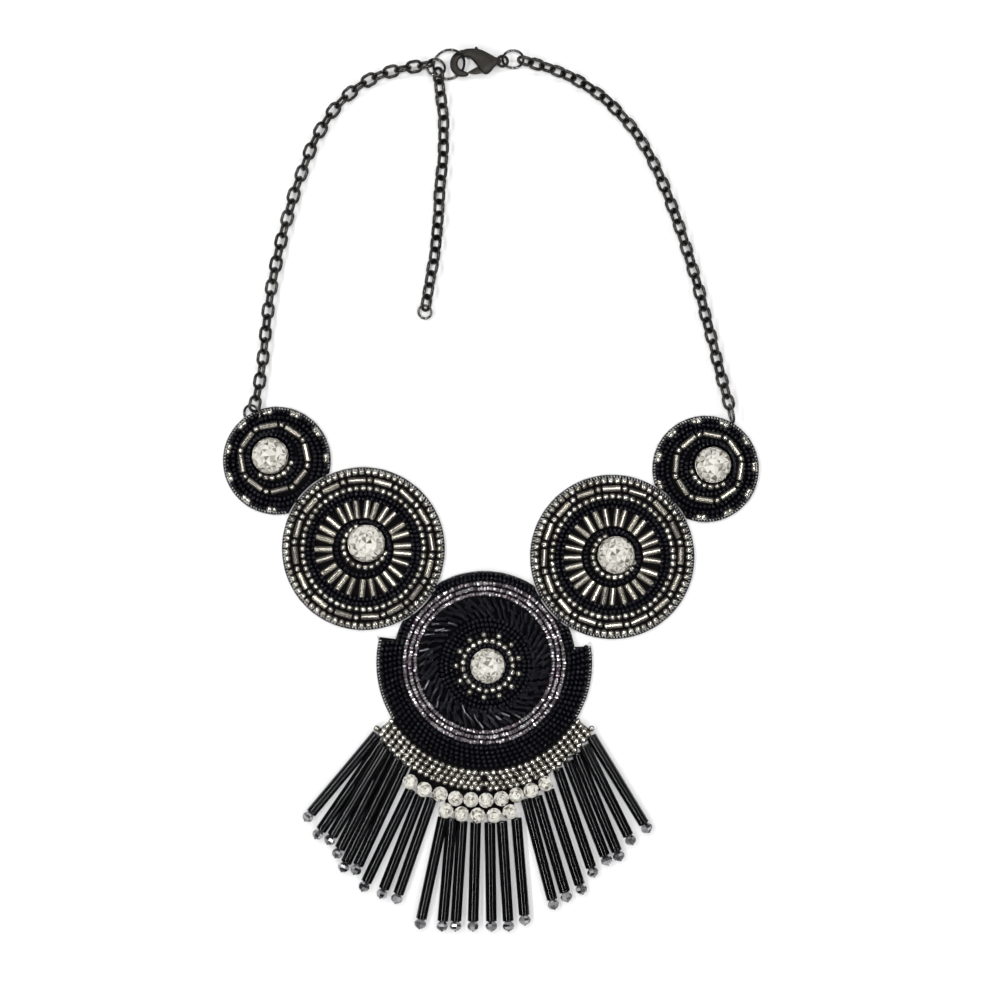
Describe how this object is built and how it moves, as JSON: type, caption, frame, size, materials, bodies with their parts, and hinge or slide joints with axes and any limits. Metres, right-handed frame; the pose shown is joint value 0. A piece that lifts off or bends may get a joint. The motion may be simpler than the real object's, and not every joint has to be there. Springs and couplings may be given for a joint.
{
  "type": "bib necklace",
  "caption": "Bib necklace of beaded felt discs with faceted crystals, rhinestone rows and a bugle fringe, on a cable chain with a lobster clasp and extender.",
  "frame": {"origin": "on the surface that the necklace lies on, under the middle of its outline", "axes": "+Y from the fringe to the clasp, +X to the wearer's left as seen from the front, +Z out of the beaded face"},
  "size_m": [0.1499, 0.2489, 0.0059],
  "materials": {
    "felt": "matt felt with a whip-stitched edge",
    "black_glass": "glossy opaque",
    "pewter_glass": "metallic lined, glossy",
    "crystal": "faceted, foil backed",
    "silver_metal": "bright",
    "gunmetal": "dark plated, satin"
  },
  "bodies": {
    "necklace": {"felt_small_left": "felt", "beadwork_small_left": "black_glass", "setting_small_left": "silver_metal", "crystal_small_left": "crystal", "felt_medium_left": "felt", "beadwork_medium_left": "black_glass", "setting_medium_left": "silver_metal", "crystal_medium_left": "crystal", "felt_centre": "felt", "beadwork_centre": "black_glass", "setting_centre": "silver_metal", "crystal_centre": "crystal", "felt_medium_right": "felt", "beadwork_medium_right": "black_glass", "setting_medium_right": "silver_metal", "crystal_medium_right": "crystal", "felt_small_right": "felt", "beadwork_small_right": "black_glass", "setting_small_right": "silver_metal", "crystal_small_right": "crystal", "collar_beadwork": "black_glass", "band_beadwork": "pewter_glass", "rhinestones_upper": "crystal", "rhinestones_lower": "crystal", "strand_01": "black_glass", "strand_02": "black_glass", "strand_03": "black_glass", "strand_04": "black_glass", "strand_05": "black_glass", "strand_06": "black_glass", "strand_07": "black_glass", "strand_08": "black_glass", "strand_09": "black_glass", "strand_10": "black_glass", "strand_11": "black_glass", "strand_12": "black_glass", "strand_13": "black_glass", "strand_14": "black_glass", "strand_15": "black_glass", "strand_16": "black_glass", "strand_17": "black_glass", "strand_18": "black_glass", "strand_19": "black_glass", "strand_20": "black_glass", "strand_21": "black_glass", "strand_22": "black_glass", "strand_23": "black_glass", "strand_24": "black_glass", "chain_left": "gunmetal", "chain_right": "gunmetal", "extender_chain": "gunmetal", "ring_left": "gunmetal", "ring_right": "gunmetal", "ring_extender_end": "gunmetal", "ring_clasp": "gunmetal", "ring_large": "gunmetal", "ring_connector": "gunmetal", "clasp_body": "gunmetal"},
    "lever": {"clasp_lever": "gunmetal"}
  },
  "joints": [
    {"name": "lever_hinge", "type": "hinge", "parent": "necklace", "child": "lever", "pos_m": [-0.002, 0.1179, 0.0021], "axis": [0, 0, -1], "range_deg": [0, 30], "stiffness_Nm_per_rad": 0.002, "springref_deg": -11.46}
  ]
}
